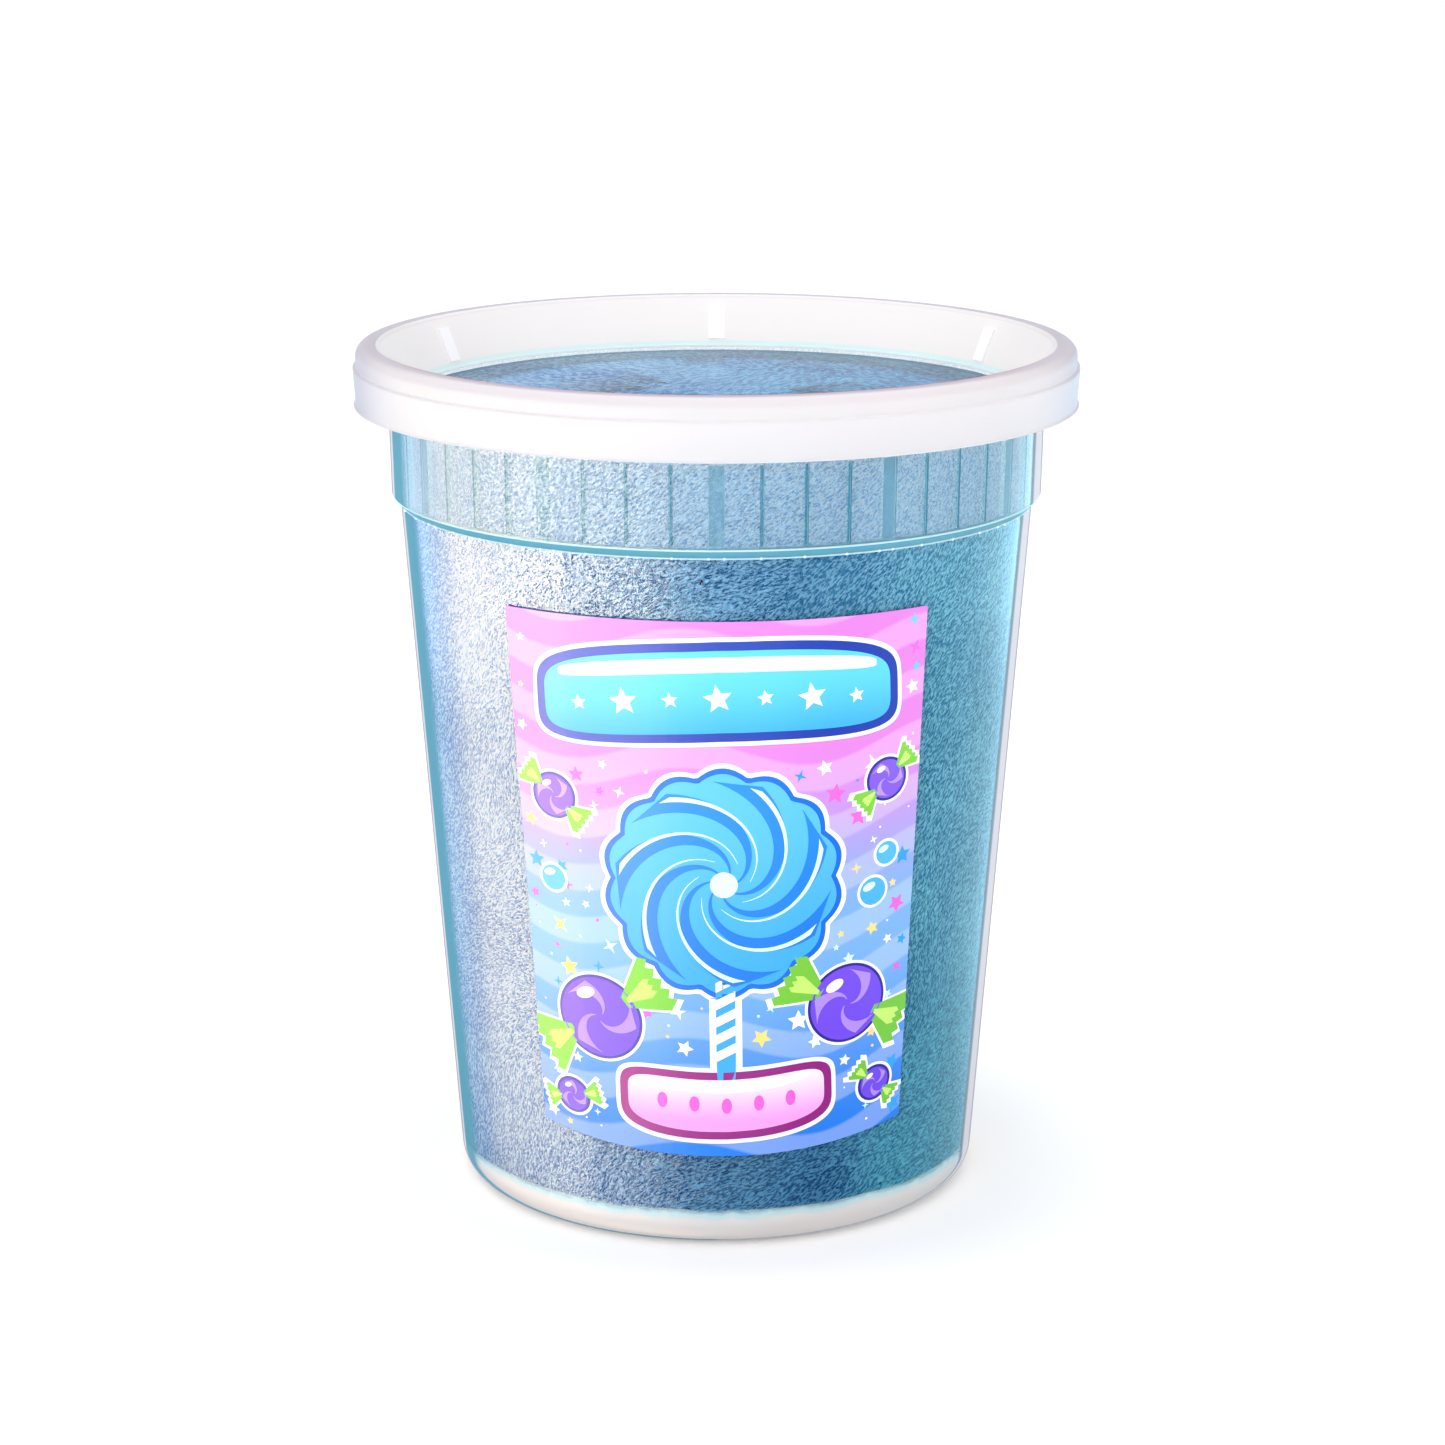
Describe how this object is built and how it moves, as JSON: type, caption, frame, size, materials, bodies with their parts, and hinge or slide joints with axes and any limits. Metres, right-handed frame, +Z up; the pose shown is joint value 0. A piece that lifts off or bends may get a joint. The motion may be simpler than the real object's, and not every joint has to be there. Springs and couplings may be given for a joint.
{
  "type": "tub of cotton candy",
  "caption": "Clear round tapered tub with a ribbed neck band, packed with blue cotton candy under a milky press-on lid, with a printed label round the front.",
  "frame": {"origin": "the middle of the tub's foot, on the surface that it stands on", "axes": "+Z up along the tub's axis, -Y towards the middle of the label, +X to the right of the label"},
  "size_m": [0.117, 0.117, 0.1384],
  "materials": {
    "clear_plastic": "clear glossy polypropylene",
    "milky_plastic": "milky translucent polypropylene with a clearer panel",
    "floss": "matted fine sugar fibres, pale blue to teal with white wisps",
    "print": "glossy printed film, pink above and sky blue below"
  },
  "bodies": {
    "root": {"tub": "clear_plastic", "lid": "milky_plastic", "cotton_candy": "floss", "label": "print"}
  },
  "joints": []
}
